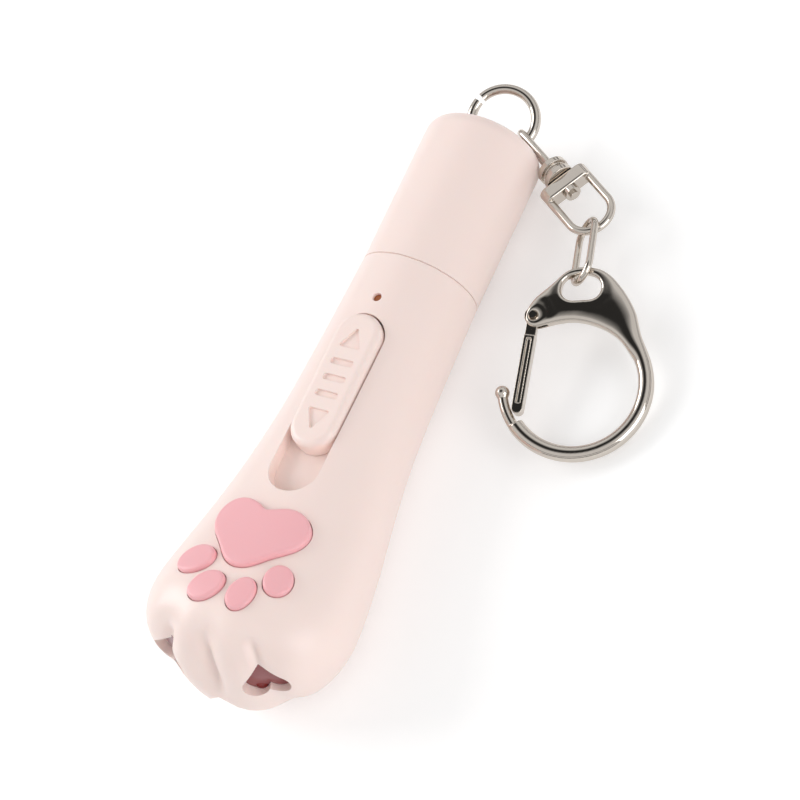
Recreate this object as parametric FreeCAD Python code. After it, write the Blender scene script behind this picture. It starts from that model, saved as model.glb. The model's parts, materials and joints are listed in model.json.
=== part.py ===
import FreeCAD, Part
import math
import os

# Cat-paw laser pointer on a swivel lanyard clip, in millimetres.
# The body lies along Y: the cap and key ring at +Y, the toes at -Y, the pads up (+Z).
# The origin is the middle of the narrow flat under the body; z = 0 is the table.

V = FreeCAD.Vector

# Driving dimensions of the housing
HANDLE_R = 10.0            # outer radius of the round handle and of the cap
PAW_L = 75.3               # parting line to the toe tips
CAP_L = 28.2               # parting line to the closed end of the cap
WALL = 1.8                 # moulded wall of the housing
NOSE_WALL = 2.6            # thicker behind the creases between the toes
FLAT_DEPTH = 0.35          # anti-roll flat, measured up from the round underside
SEAM_Y = 33.0              # parting line between cap and housing
AXIS_Z = HANDLE_R - FLAT_DEPTH
FIT = 0.1                  # gap between pieces that are pushed together
SLIDE_GAP = 0.2            # gap all round a piece that slides

# Swelling of the handle into the paw; places count from the parting line
SIDE_DRAFT = 0.045
SIDE_SWELL = 4.5
SIDE_FROM = PAW_L - 51.3
SIDE_TO = PAW_L - 9.3
TOP_DRAFT = 0.012
TOP_SWELL = 4.1
TOP_FROM = PAW_L - 33.3
TOP_TO = PAW_L - 5.3
NOSE_DROP = 1.5            # the blunt nose closes this far below the handle axis
SIDE_TURN = PAW_L - 19.3   # where the sides start to round over towards the nose
TOP_TURN = PAW_L - 17.3
UNDER_TURN = PAW_L - 25.3
FULLNESS = 0.25            # how much squarer than an ellipse the paw's sections are

# Creases between the four toes
CREASE_DEPTH = 1.6
CREASE_HALF_W = 2.0
CREASE_FROM = PAW_L - 10.8
CREASE_FULL = PAW_L - 3.8
OUTER_CREASE_X = 9.4       # the outer two, up to OUTER_CREASE_Z; above it they bend inwards
OUTER_CREASE_Z = 4.5
OUTER_CREASE_BEND = 0.032

# Light openings, heart shaped, one at the foot of each crease
HEART_W = 7.6
HEART_H = 6.2
HEART_LOBE = 0.27          # lobe radius as a share of the width
PORT_X = 9.0               # side openings, at the foot of the outer creases
PORT_S = PAW_L - 2.8
PORT_Z = 5.6
NOSE_S = PAW_L - 0.3
NOSE_PORT_Z = -1.9

# Slider and its trough
SLIDER_W = 8.0
SLIDER_FROM = 11.6         # cap end of the slider, from the parting line
SLIDER_TRAVEL = 7.5
SLIDER_TOP = 11.1          # above the handle axis
SLIDER_EDGE = 1.1          # rounding of its top edge
TROUGH_FLOOR = 7.6
TROUGH_GAP = 0.3
TROUGH_WALL = 1.4
STEM_W = 2.0
STEM_L = 6.0
MARK_DEPTH = 0.45
MARK_W = 4.0
BAR_L = 1.1                # the three bars, along the slider
BAR_PITCH = 0.12           # their spacing as a share of the slider
ARROW_AT = 0.23            # base of an arrow from the middle, as a share of the slider
ARROW_L = 0.155            # its height, likewise

# Charging light hole
LIGHT_AT = 8.2
LIGHT_D = 1.5

# Pads, sunk into the skin and standing proud of it
PAD_PROUD = 0.85
PAD_SEAT = 0.9
PAD_GAP = 0.12
PAD_EDGE = 0.55            # rounding of a pad's rim
MAIN_PAD_AT = PAW_L - 23.6
MAIN_PAD_W = 15.9
MAIN_PAD_L = 11.9
MAIN_PAD_LOBES = (-0.036, -0.188, -0.181)   # swings of its radius: once, twice and three times round
PAD_MARGIN = 2.45          # from the slider at the end of its travel to the main pad
SLIDER_L = MAIN_PAD_AT - MAIN_PAD_L / 2 - PAD_MARGIN - SLIDER_TRAVEL - SLIDER_FROM
# Toe pads from left to right: across, back from the toe tips, width, length, lean in degrees
TOE_PADS = (
    (-7.1, 16.6, 5.2, 6.7, -70),
    (-2.6, 12.6, 4.8, 6.3, -46),
    (3.5, 12.9, 4.3, 5.8, -6),
    (7.6, 16.8, 4.6, 5.4, 10),
)

# Charging plug and inner pieces
BORE_R = 8.3               # bore of cap and housing mouth
PLUG_W = 12.0
PLUG_H = 4.5
PLUG_REACH = 18.6          # length of the plug beyond the parting line
PLUG_ROOT = 6.0
PLUG_SHEET = 0.3
COLLAR_REACH = 3.6
BOARD_W = 15.0
BOARD_T = 1.0
BOARD_FROM = PLUG_ROOT + 0.2
BOARD_TO = PAW_L - 12.7
BOARD_Z = -0.6             # underside, from the handle axis
CELL_W = 10.0
CELL_T = 4.0
CELL_L = 30.0
CELL_FROM = 9.0
SWITCH_W = 4.4
SWITCH_L = 15.0
SWITCH_H = 3.4
SCREW_S = 43.5             # the two board screws, clear of the cell
BRACKET_S = BOARD_TO - 0.6 + FIT / 2
BRACKET_T = 3.4
LED_R = 2.4
LED_BACK = 3.0             # round nose behind the skin
LASER_R = 3.0
LASER_BACK = 4.6
LASER_L = 6.2
LINER_T = 0.7              # curved guard behind the light openings
LINER_REACH = 6.8          # how far it goes back from the toe tips
BEAM_R = 1.1

# Lanyard ring and swivel chain
CAP_END_T = 4.4
CAP_RIM_R = 3.0
LUG_T = 2.0
LUG_R = 2.4
LUG_HOLE_R = 1.3
LUG_DEPTH = 0.5            # hole centre inside the end plane of the cap
LUG_DROP = 1.9             # hole centre below the cap axis
RING_R = 5.35
RING_WIRE_R = 0.85
RING_GAP_AT = 158.0        # degrees round from the side where the swivel hangs
RING_GAP_DEG = 9.0
RING_NORMAL = V(0.27, -0.2, 0.94)
CHAIN_GAP = 0.06           # play between wires that hang in each other
EYE_AT = -22.0             # degrees round the ring
EYE_WIRE_R = 0.65
EYE_L = 7.7                # ring wire to the collar
EYE_SPREAD = 1.9
SWIVEL_AIM = V(0.84, -0.543, 0)
COLLAR_R = 2.6
COLLAR_L = 3.1
RIVET_R = 0.75
RIVET_HEAD_R = 1.35
BAIL_WIRE_R = 0.7
BAIL_HALF_W = 3.75
BAIL_SIDE_L = 6.9
BAIL_BLOCK_T = 2.8         # cross block of the bail, through its flat
BAIL_BLOCK_L = 2.6         # and along the swivel
LINK_AT = -37.0            # degrees round the bail's bow
LINK_AIM = V(0.3405, -0.921, 0.189)
LINK_SPAN = 8.72           # bail wire to clip eye bar
LINK_HALF_W = 2.6
LINK_WIRE_R = 0.58
LINK_LEAN = 45.0           # degrees the link leans over from standing upright
LINK_BAIL_REACH = 1.12    # half the bail's wire as the leaning link meets it
LINK_EYE_REACH = 1.1      # half the clip eye's bar as the leaning link meets it

# Claw clip, drawn flat about the middle of its eye: x across, y up towards the link
CLIP_NORMAL = V(0.21, -0.15, 0.966)
CLIP_RIGHT = V(0.923, 0.355, 0)
CLIP_T = 2.6               # cast shoulder
CLIP_EYE_T = 1.7           # thinner at the eye's bar
CLIP_EDGE = 0.5
EYE_HALF_W = 3.2
EYE_HALF_H = 2.2
EYE_BAR = 1.2
CLAW_AT = V(-1.4, -15.9, 0)
CLAW_INNER_R = 9.85
CLAW_TUBE_R = 1.3
CLAW_TIP_R = 0.85
CLAW_FROM = 40.0           # the round hook runs from the shoulder, in degrees
CLAW_TO = -149.0
TIP_FROM = -140.0          # and its thinner tip from inside the hook
TIP_TO = -178.0
ARCH_AT = V(-2.6, -16.4, 0)
ARCH_R = 11.0              # hollow of the shoulder over the opening
PIVOT_AT = V(-7.7, -4.1, 0)
PIVOT_R = 1.6
PIN_R = 0.6
GATE_END = V(-10.55, -19.15, 0)
GATE_W = 1.8
GATE_T = 2.0
GATE_ROOT_T = 1.2


def axis_point(x, s, z):
    """A place given across, from the parting line towards the toes, and above the handle axis."""
    return V(x, SEAM_Y - s, AXIS_Z + z)


def smooth(t):
    t = max(0.0, min(1.0, t))
    return t * t * (3 - 2 * t)


def rounding(s, start, order, inset):
    """How much of a profile is left at s, where it closes from start to the nose."""
    u = (s - start) / (PAW_L - inset - start)
    if u <= 0:
        return 1.0
    return math.sqrt(max(0.0, 1 - min(u, 1.0) ** order))


def half_width(s, inset):
    side = HANDLE_R + SIDE_DRAFT * s + SIDE_SWELL * smooth((s - SIDE_FROM) / (SIDE_TO - SIDE_FROM))
    return (side - inset) * rounding(s, SIDE_TURN, 3.0, inset)


def top_line(s, inset):
    top = HANDLE_R + TOP_DRAFT * s + TOP_SWELL * smooth((s - TOP_FROM) / (TOP_TO - TOP_FROM))
    return -NOSE_DROP + (top - inset + NOSE_DROP) * rounding(s, TOP_TURN, 4.0, inset)


def under_line(s, inset):
    return -NOSE_DROP + (NOSE_DROP - HANDLE_R + inset) * rounding(s, UNDER_TURN, 2.6, inset)


def exponent(s):
    """Two where the section is round, a little more where the paw is full."""
    return 2 + FULLNESS * smooth(s / TOP_TURN * 1.7 - 0.6)


def section_point(s, angle, inset):
    """A point of the plain skin, pushed inwards by inset, in the section at s."""
    power = 2 / exponent(s)
    across = math.copysign(abs(math.cos(angle)) ** power, math.cos(angle))
    up = math.copysign(abs(math.sin(angle)) ** power, math.sin(angle))
    top = top_line(s, inset)
    under = under_line(s, inset)
    return V(half_width(s, inset) * across, -s, (top + under) / 2 + (top - under) / 2 * up)


def crease_depth(p):
    """Depth of the three valleys between the four toes at a point of the skin."""
    front = smooth((-p.y - CREASE_FROM) / (CREASE_FULL - CREASE_FROM))
    upper = smooth((p.z + 8) / 6)
    outer = OUTER_CREASE_X - OUTER_CREASE_BEND * max(0.0, p.z - OUTER_CREASE_Z) ** 2
    valleys = sum(math.exp(-((p.x - x) / CREASE_HALF_W) ** 2) for x in (-outer, 0.0, outer))
    off_nose = smooth((math.hypot(p.x, p.z + NOSE_DROP) - 0.3) / 2)
    return CREASE_DEPTH * valleys * front * upper * off_nose


def skin_point(s, angle, inset):
    """A point of the skin with the toe creases pressed in along its normal."""
    p = section_point(s, angle, inset)
    ahead = section_point(min(s + 0.02, PAW_L - inset - 1e-4), angle, inset)
    along = ahead - section_point(s - 0.02, angle, inset)
    around = section_point(s, angle + 1e-3, inset) - section_point(s, angle - 1e-3, inset)
    normal = along.cross(around)
    if normal.Length < 1e-12:
        return p
    normal.normalize()
    if normal.dot(V(p.x, -0.25 if s > TOP_TURN else 0, p.z - 2)) < 0:
        normal = normal * -1
    return p - normal * crease_depth(p)


def stations(inset, start, handle, count):
    """Section places: a few along the handle, as shares of it, then closer and closer to the nose."""
    nose = PAW_L - inset
    places = [start, start + 1] + [TOP_TURN * share for share in handle]
    for i in range(count):
        turn = math.radians(5 + 78 * i / (count - 1))
        places.append(TOP_TURN + (nose - TOP_TURN) * math.sin(turn))
    return places


def body_net(inset, points, places, shape_point):
    """A closed body whose smooth skin follows a net of control points, one ring at each place."""
    shrink = (2 + math.cos(2 * math.pi / points)) / 3
    net = []
    for k in range(points):
        angle = 2 * math.pi * k / points - math.pi / 2
        row = []
        for s in places:
            p = shape_point(s, angle, inset)
            if s == places[-1]:
                p = V(p.x, -s, p.z)
            middle = V(0, p.y, (top_line(s, inset) + under_line(s, inset)) / 2)
            row.append(middle + (p - middle) * (1 / shrink))
        net.append(row)
    spans = len(places) - 3
    ends = [4] + [1] * (spans - 1) + [4]
    surface = Part.BSplineSurface()
    surface.buildFromPolesMultsKnots(net, [1] * (points + 1), ends, [float(k) for k in range(points + 1)],
                                     [float(k) for k in range(spans + 1)], True, False, 3, 3)
    side = surface.toShape()
    lids = [Part.Face(Part.Wire([e])) for e in side.Edges if e.isClosed()]
    closed = Part.makeShell([side] + lids)
    closed.sewShape()
    body = Part.makeSolid(closed)
    body.translate(V(0, SEAM_Y, AXIS_Z))
    return body


def plain_body(inset, start=0.0):
    return body_net(inset, 16, stations(inset, start, (0.31, 0.59, 0.79), 6), section_point)


def box(x0, x1, s0, s1, z0, z1):
    """A box between two stations s0 < s1 and two heights about the handle axis."""
    return Part.makeBox(x1 - x0, s1 - s0, z1 - z0, axis_point(x0, s1, z0))


def rod(radius, start, end):
    return Part.makeCylinder(radius, (end - start).Length, start, end - start)


def stadium(width, s0, s1, z0, z1):
    """An upright slab with round ends."""
    r = width / 2
    slab = box(-r, r, s0 + r, s1 - r, z0, z1)
    for s in (s0 + r, s1 - r):
        slab = slab.fuse(rod(r, axis_point(0, s, z0), axis_point(0, s, z1)))
    return slab.removeSplitter()


def round_edges(shape, radius, wanted):
    return shape.makeFillet(radius, [e for e in shape.Edges if wanted(e)])


def at_height(z, tol=1e-3):
    return lambda e: abs(e.BoundBox.ZMin - z) < tol and abs(e.BoundBox.ZMax - z) < tol


def skin_height(x, s):
    """Height of the plain skin above the axis, over the point (x, s)."""
    top = top_line(s, 0)
    under = under_line(s, 0)
    power = exponent(s)
    share = (1 - (abs(x) / half_width(s, 0)) ** power) ** (1 / power)
    return (top + under) / 2 + (top - under) / 2 * share


def skin_frame(x, s):
    """Placement with its origin on the skin over (x, s), Z outwards and Y towards the cap."""
    d = 0.05
    across = V(2 * d, 0, skin_height(x + d, s) - skin_height(x - d, s))
    along = V(0, 2 * d, skin_height(x, s - d) - skin_height(x, s + d))
    normal = across.cross(along)
    turn = FreeCAD.Rotation(V(1, 0, 0), along, normal, "ZYX")
    return FreeCAD.Placement(axis_point(x, s, skin_height(x, s)), turn)


def ellipse_face(width, length, turn, grow=0.0):
    """An ellipse in the plane z = 0 whose long side leans from Y by turn degrees."""
    ellipse = Part.Ellipse(V(0, 0, 0), length / 2 + grow, width / 2 + grow)
    face = Part.Face(Part.Wire([ellipse.toShape()]))
    face.rotate(V(0, 0, 0), V(0, 0, 1), 90 + turn)
    return face


def main_pad_face(grow=0.0):
    """Three lobes in the plane z = 0: two towards the cap and a broad one towards the toes."""
    count = 24
    ring = []
    for k in range(count):
        a = 2 * math.pi * k / count
        r = 1 + sum(swing * math.cos((i + 1) * a) for i, swing in enumerate(MAIN_PAD_LOBES))
        out = V(MAIN_PAD_W / 2.41 * r * math.sin(a), MAIN_PAD_L / 1.8 * r * math.cos(a), 0)
        ring.append(out + out * (grow / out.Length))
    curve = Part.BSplineCurve()
    curve.interpolate(Points=ring, PeriodicFlag=True)
    return Part.Face(Part.Wire([curve.toShape()]))


def pad_prism(face, place):
    """The pad's outline carried through the skin, square to it at its middle."""
    prism = face.extrude(V(0, 0, 9))
    prism.translate(V(0, 0, -5))
    prism.Placement = skin_frame(*place).multiply(prism.Placement)
    return prism


def pad_and_seat(face, seat_face, place):
    """A pad that follows the skin with a rounded rim, and the cutter for its seat."""
    floor = plain_body(PAD_SEAT)
    pad = pad_prism(face, place).common(plain_body(-PAD_PROUD)).cut(floor)
    rim = [e for e in pad.Edges if on_skin(e, PAD_PROUD)]
    return pad.makeFillet(PAD_EDGE, rim), pad_prism(seat_face, place).cut(floor)


def on_skin(edge, proud):
    """Whether an edge lies at this height over the plain skin."""
    middle = edge.valueAt((edge.FirstParameter + edge.LastParameter) / 2)
    s = SEAM_Y - middle.y
    return abs(middle.z - AXIS_Z - skin_height(middle.x, s) - proud) < 0.4


def toe_pads():
    """Each toe pad with its seat's cutter, from left to right."""
    pads = []
    for x, back, width, length, lean in TOE_PADS:
        face = ellipse_face(width, length, lean)
        pads.append(pad_and_seat(face, ellipse_face(width, length, lean, PAD_GAP), (x, PAW_L - back)))
    return pads


def main_pad():
    return pad_and_seat(main_pad_face(), main_pad_face(PAD_GAP), (0, MAIN_PAD_AT))


def heart(depth):
    """A heart prism along Z: its point towards +y, two round lobes towards -y."""
    lobe = HEART_LOBE * HEART_W
    x = HEART_W / 2 - lobe
    y = lobe - HEART_H / 2
    tip = V(0, HEART_H / 2, 0)
    reach = math.hypot(x, tip.y - y)
    turn = math.atan2(x, tip.y - y) + math.asin(lobe / reach)
    side = V(math.sin(turn), -math.cos(turn), 0) * math.sqrt(reach ** 2 - lobe ** 2)
    touch = tip + side
    corners = [tip, touch, V(x, y, 0), V(-x, y, 0), V(-touch.x, touch.y, 0), tip]
    body = Part.Face(Part.makePolygon(corners)).extrude(V(0, 0, depth))
    lobes = [Part.makeCylinder(lobe, depth, V(k * x, y, 0)) for k in (-1, 1)]
    return body.fuse(lobes).removeSplitter()


def light_ports():
    """The three openings: name, centre about the axis frame with its station, and where it looks."""
    tilt = V(0.39, -0.895, 0.18)
    return (
        ("uv_led", V(-PORT_X, PORT_S, PORT_Z), V(-tilt.x, tilt.y, tilt.z)),
        ("white_led", V(0, NOSE_S, NOSE_PORT_Z), V(0, -1, 0)),
        ("laser", V(PORT_X, PORT_S, PORT_Z), tilt),
    )


def port_cutter(place, look):
    """Heart-shaped cutter through the wall, its point up towards the pads."""
    prism = heart(9)
    prism.translate(V(0, 0, -5))
    turn = FreeCAD.Rotation(V(0, 0, 0), V(0, 0, 1), look, "ZYX")
    prism.Placement = FreeCAD.Placement(axis_point(*place), turn).multiply(prism.Placement)
    return prism


def flat_cutter(s0, s1):
    """Everything of a round body below the table plane, between two stations."""
    return box(-HANDLE_R, HANDLE_R, s0, s1, -AXIS_Z - 2, -AXIS_Z)


def trough_cutter():
    """The slider's trough with the slot in its floor for the stem."""
    length = SLIDER_L + SLIDER_TRAVEL + 2 * TROUGH_GAP
    s0 = SLIDER_FROM - TROUGH_GAP
    trough = stadium(SLIDER_W + 2 * TROUGH_GAP, s0, s0 + length, TROUGH_FLOOR, TROUGH_FLOOR + 8)
    stem = SLIDER_FROM + SLIDER_L / 2
    slot_w = STEM_W + 2 * SLIDE_GAP
    slot0 = stem - STEM_L / 2 - SLIDE_GAP
    slot1 = stem + STEM_L / 2 + SLIDER_TRAVEL + SLIDE_GAP
    return trough.fuse(box(-slot_w / 2, slot_w / 2, slot0, slot1, TROUGH_FLOOR - 4, TROUGH_FLOOR + 1))


def make_paw_shell(seats):
    """One hollow moulding: round mouth, trough under the slider, four toes and three light openings."""
    skin = body_net(0.0, 48, stations(0.0, 0, (0.24, 0.48, 0.66, 0.79, 0.91), 11), skin_point)
    front = box(-30, 30, BRACKET_S + BRACKET_T + FIT, PAW_L + 1, -30, 30)
    hollow = plain_body(WALL).cut(front).fuse(plain_body(NOSE_WALL).common(front))
    mouth = rod(BORE_R, axis_point(0, -1, 0), axis_point(0, 14, 0))
    length = SLIDER_L + SLIDER_TRAVEL + 2 * (TROUGH_GAP + TROUGH_WALL)
    half = SLIDER_W / 2 + TROUGH_GAP + TROUGH_WALL
    s0 = SLIDER_FROM - TROUGH_GAP - TROUGH_WALL
    tub = box(-half, half, s0, s0 + length, TROUGH_FLOOR - TROUGH_WALL, TROUGH_FLOOR + 8)
    shell = skin.cut(hollow.fuse(mouth).cut(tub))
    cutters = [trough_cutter(), flat_cutter(-1, PAW_L + 1)] + seats
    cutters += [port_cutter(place, look) for name, place, look in light_ports()]
    cutters.append(rod(LIGHT_D / 2, axis_point(0, LIGHT_AT, 5), axis_point(0, LIGHT_AT, 12)))
    return shell.cut(cutters)


def slider_arrow(mid, way):
    """A triangle on the slider's top that points along it."""
    base = mid + way * ARROW_AT * SLIDER_L
    tip = base + way * ARROW_L * SLIDER_L
    w = MARK_W / 2
    places = ((-w, base), (w, base), (0, tip), (-w, base))
    corners = [axis_point(x, s, SLIDER_TOP - MARK_DEPTH) for x, s in places]
    arrow = Part.Face(Part.makePolygon(corners)).extrude(V(0, 0, 2))
    return round_edges(arrow, 0.3, lambda e: e.BoundBox.ZLength > 1)


def make_slider_knob():
    """Long thumb piece with pressed-in arrows and bars, and the stem that reaches inside."""
    s1 = SLIDER_FROM + SLIDER_L
    floor = TROUGH_FLOOR + FIT
    knob = stadium(SLIDER_W, SLIDER_FROM, s1, floor, SLIDER_TOP)
    knob = round_edges(knob, SLIDER_EDGE, at_height(AXIS_Z + SLIDER_TOP))
    mid = SLIDER_FROM + SLIDER_L / 2
    marks = [slider_arrow(mid, -1), slider_arrow(mid, 1)]
    w = MARK_W / 2
    for k in (-1, 0, 1):
        s = mid + BAR_PITCH * SLIDER_L * k
        bar = box(-w, w, s - BAR_L / 2, s + BAR_L / 2, SLIDER_TOP - MARK_DEPTH, SLIDER_TOP + 1)
        marks.append(round_edges(bar, BAR_L * 0.4, lambda e: e.BoundBox.ZLength > 1))
    knob = knob.cut(marks)
    foot = TROUGH_FLOOR - TROUGH_WALL - 1.4
    stem = box(-STEM_W / 2, STEM_W / 2, mid - STEM_L / 2, mid + STEM_L / 2, foot, floor + 0.5)
    return knob.fuse(stem).removeSplitter()


def make_slider_carrier():
    """Plate clipped on the stem under the trough floor, with the finger that works the switch."""
    mid = SLIDER_FROM + SLIDER_L / 2
    top = TROUGH_FLOOR - TROUGH_WALL - FIT
    plate = box(-4, 4, mid - 5, mid + 5, top - 1.3, top)
    w = STEM_W / 2 + 0.02
    l = STEM_L / 2 + 0.02
    plate = plate.cut(box(-w, w, mid - l, mid + l, top - 2, top + 1))
    finger_top = top - 1.3
    finger = box(-0.7, 0.7, mid + l, mid + l + 1.6, BOARD_Z + BOARD_T + 2.3, finger_top + 0.5)
    return plate.fuse(finger).removeSplitter()


def make_slide_switch():
    """Switch body on the board, with the slot that the carrier's finger runs in."""
    z0 = BOARD_Z + BOARD_T
    finger = SLIDER_FROM + (SLIDER_L + STEM_L) / 2
    s0 = finger - 2.4
    body = box(-SWITCH_W / 2, SWITCH_W / 2, s0, s0 + SWITCH_L, z0, z0 + SWITCH_H)
    body = body.makeFillet(0.3, [e for e in body.Edges if e.BoundBox.ZLength > 1])
    return body.cut(box(-0.9, 0.9, finger - 0.4, finger + SLIDER_TRAVEL + 2.2, z0 + 1.9, z0 + 6))


def make_light_pipe():
    """Clear rod that carries the charging lamp's light up to the hole."""
    z0 = BOARD_Z + BOARD_T + 0.75
    return rod(LIGHT_D / 2 - 0.06, axis_point(0, LIGHT_AT, z0), axis_point(0, LIGHT_AT, HANDLE_R - 0.45))


def make_charge_led():
    z0 = BOARD_Z + BOARD_T
    return box(-0.8, 0.8, LIGHT_AT - 0.5, LIGHT_AT + 0.5, z0, z0 + 0.7)


def make_plug_collar():
    """Short spigot in the housing mouth: the plug comes out of it and the cap grips it."""
    ring = rod(BORE_R - FIT, axis_point(0, 1.6, 0), axis_point(0, -COLLAR_REACH, 0))
    ring = round_edges(ring, 0.4, lambda e: abs(e.BoundBox.YMax - SEAM_Y - COLLAR_REACH) < 1e-3
                       and abs(e.BoundBox.YMin - SEAM_Y - COLLAR_REACH) < 1e-3)
    w = PLUG_W / 2 + 0.05
    h = PLUG_H / 2 + 0.05
    return ring.cut(box(-w, w, -COLLAR_REACH - 1, 3, -h, h))


def make_usb_plug_shell():
    """Folded sheet sleeve of the charging plug with its two pairs of latch windows."""
    w = PLUG_W / 2
    h = PLUG_H / 2
    t = PLUG_SHEET
    sleeve = box(-w, w, -PLUG_REACH, PLUG_ROOT, -h, h)
    sleeve = sleeve.makeFillet(0.5, [e for e in sleeve.Edges if e.BoundBox.YLength > 5])
    sleeve = sleeve.cut(box(-w + t, w - t, -PLUG_REACH - 1, PLUG_ROOT + 1, -h + t, h - t))
    for x in (-2.85, 2.85):
        sleeve = sleeve.cut(box(x - 1.1, x + 1.1, -PLUG_REACH + 5.2, -PLUG_REACH + 7.6, -h - 1, h + 1))
    return sleeve


def make_usb_tongue():
    """Insulator inside the sleeve, thin where the contacts lie."""
    w = PLUG_W / 2 - PLUG_SHEET - 0.02
    low = -PLUG_H / 2 + PLUG_SHEET + 0.02
    tongue = box(-w, w, -PLUG_REACH + 0.4, 0, low, low + 1.8)
    block = box(-w, w, 0, PLUG_ROOT, low, -low)
    return tongue.fuse(block).removeSplitter()


def make_usb_contacts():
    """Four gilt strips on the tongue, the outer two longer."""
    low = -PLUG_H / 2 + PLUG_SHEET + 0.02 + 1.8
    strips = []
    for k, x in enumerate((-3.5, -1.0, 1.0, 3.5)):
        tip = -PLUG_REACH + (1.2 if k in (0, 3) else 2.3)
        strips.append(box(x - 0.5, x + 0.5, tip, -0.02, low, low + 0.2))
    return Part.makeCompound(strips)


def make_inner_chassis():
    """Half-round tray under the board: it holds the cell and carries two screw posts."""
    r = HANDLE_R - WALL - 1.5 * FIT
    s0 = 1.7
    s1 = 48.0
    tray = rod(r, axis_point(0, s1, 0), axis_point(0, s0, 0))
    tray = tray.cut(rod(r - 1.2, axis_point(0, s1 + 1, 0), axis_point(0, s0 + 1.2, 0)))
    tray = tray.cut(box(-r, r, s0 + 1.2, s1 + 1, BOARD_Z, r))
    w = PLUG_W / 2 + 0.05
    h = PLUG_H / 2 + 0.05
    tray = tray.cut(box(-w, w, 0, 4, -h, h))
    for x in (-4, 4):
        post = rod(1.7, axis_point(x, SCREW_S, -7.6), axis_point(x, SCREW_S, BOARD_Z))
        tray = tray.fuse(post.common(rod(r, axis_point(0, s1, 0), axis_point(0, s0, 0))))
        tray = tray.cut(rod(0.72, axis_point(x, SCREW_S, -4.2), axis_point(x, SCREW_S, 0)))
    return tray.removeSplitter()


def make_circuit_board():
    z0 = BOARD_Z
    w = BOARD_W / 2
    board = box(-w, w, BOARD_FROM, BOARD_TO, z0, z0 + BOARD_T)
    board = board.makeFillet(1.0, [e for e in board.Edges if e.BoundBox.ZLength > 0.5])
    holes = [rod(0.9, axis_point(x, SCREW_S, z0 - 1), axis_point(x, SCREW_S, z0 + 2)) for x in (-4, 4)]
    return board.cut(holes)


def make_board_screws():
    """Two pan-head screws through the board into the tray's posts."""
    screws = []
    top = BOARD_Z + BOARD_T
    for x in (-4, 4):
        head = rod(1.5, axis_point(x, SCREW_S, top), axis_point(x, SCREW_S, top + 0.8))
        shank = rod(0.7, axis_point(x, SCREW_S, -4.0), axis_point(x, SCREW_S, top))
        slot = box(x - 0.9, x + 0.9, SCREW_S - 0.15, SCREW_S + 0.15, top + 0.45, top + 2)
        cross = box(x - 0.15, x + 0.15, SCREW_S - 0.9, SCREW_S + 0.9, top + 0.45, top + 2)
        screws.append(head.fuse(shank).cut([slot, cross]).removeSplitter())
    return Part.makeCompound(screws)


def make_battery_cell():
    """Flat lithium pouch in the tray under the board."""
    z1 = BOARD_Z - 0.3
    cell = box(-CELL_W / 2, CELL_W / 2, CELL_FROM, CELL_FROM + CELL_L, z1 - CELL_T, z1)
    return cell.makeFillet(1.4, [e for e in cell.Edges if e.BoundBox.YLength > 5])


def emitter_line(place, look, behind):
    """A point behind a port on its own line of sight."""
    step = V(look.x, look.y, look.z).normalize() * behind
    return axis_point(*place) - step


def make_light_liner():
    """Curved guard close behind the three openings, with a round hole for each light."""
    outer = plain_body(NOSE_WALL + FIT)
    liner = outer.cut(plain_body(NOSE_WALL + FIT + LINER_T))
    liner = liner.common(box(-20, 20, PAW_L - LINER_REACH, PAW_L, -9, 11))
    for name, place, look in light_ports():
        radius = BEAM_R if name == "laser" else LED_R + FIT
        liner = liner.cut(rod(radius, emitter_line(place, look, 9), emitter_line(place, look, 0)))
    return liner


def make_emitter_bracket():
    """Cross wall in the paw that holds the three light sources and the end of the board."""
    wall = plain_body(WALL + FIT).common(box(-20, 20, BRACKET_S, BRACKET_S + BRACKET_T, -20, 20))
    wall = wall.cut(box(-BOARD_W / 2 - 0.1, BOARD_W / 2 + 0.1, BRACKET_S - 1, BRACKET_S + 0.6,
                        BOARD_Z - 0.05, BOARD_Z + BOARD_T + 0.05))
    for name, place, look in light_ports():
        radius = LASER_R if name == "laser" else LED_R + 0.5
        front = emitter_line(place, look, 0)
        wall = wall.cut(rod(radius + 0.03, emitter_line(place, look, 25), front))
    return wall


def make_led(place, look):
    """Round-nosed LED with its base rim, on the port's own line."""
    tip = emitter_line(place, look, LED_BACK)
    centre = emitter_line(place, look, LED_BACK + LED_R)
    base = emitter_line(place, look, LED_BACK + 7.2)
    rim = emitter_line(place, look, LED_BACK + 6.2)
    dome = Part.makeSphere(LED_R, centre)
    return dome.fuse([rod(LED_R, base, centre), rod(LED_R + 0.5, base, rim)]).removeSplitter()


def make_laser_barrel():
    """Turned brass barrel with a stepped front bore for the lens."""
    name, place, look = light_ports()[2]
    tip = emitter_line(place, look, LASER_BACK)
    base = emitter_line(place, look, LASER_BACK + LASER_L)
    barrel = rod(LASER_R, base, tip)
    bore = rod(LASER_R - 0.7, emitter_line(place, look, LASER_BACK + 1.6), emitter_line(place, look, 0))
    throat = rod(1.1, emitter_line(place, look, LASER_BACK + 5), emitter_line(place, look, LASER_BACK + 1))
    return barrel.cut([bore, throat])


def make_laser_lens():
    name, place, look = light_ports()[2]
    back = emitter_line(place, look, LASER_BACK + 1.6)
    return rod(LASER_R - 0.75, back, emitter_line(place, look, LASER_BACK + 0.7))


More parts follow.
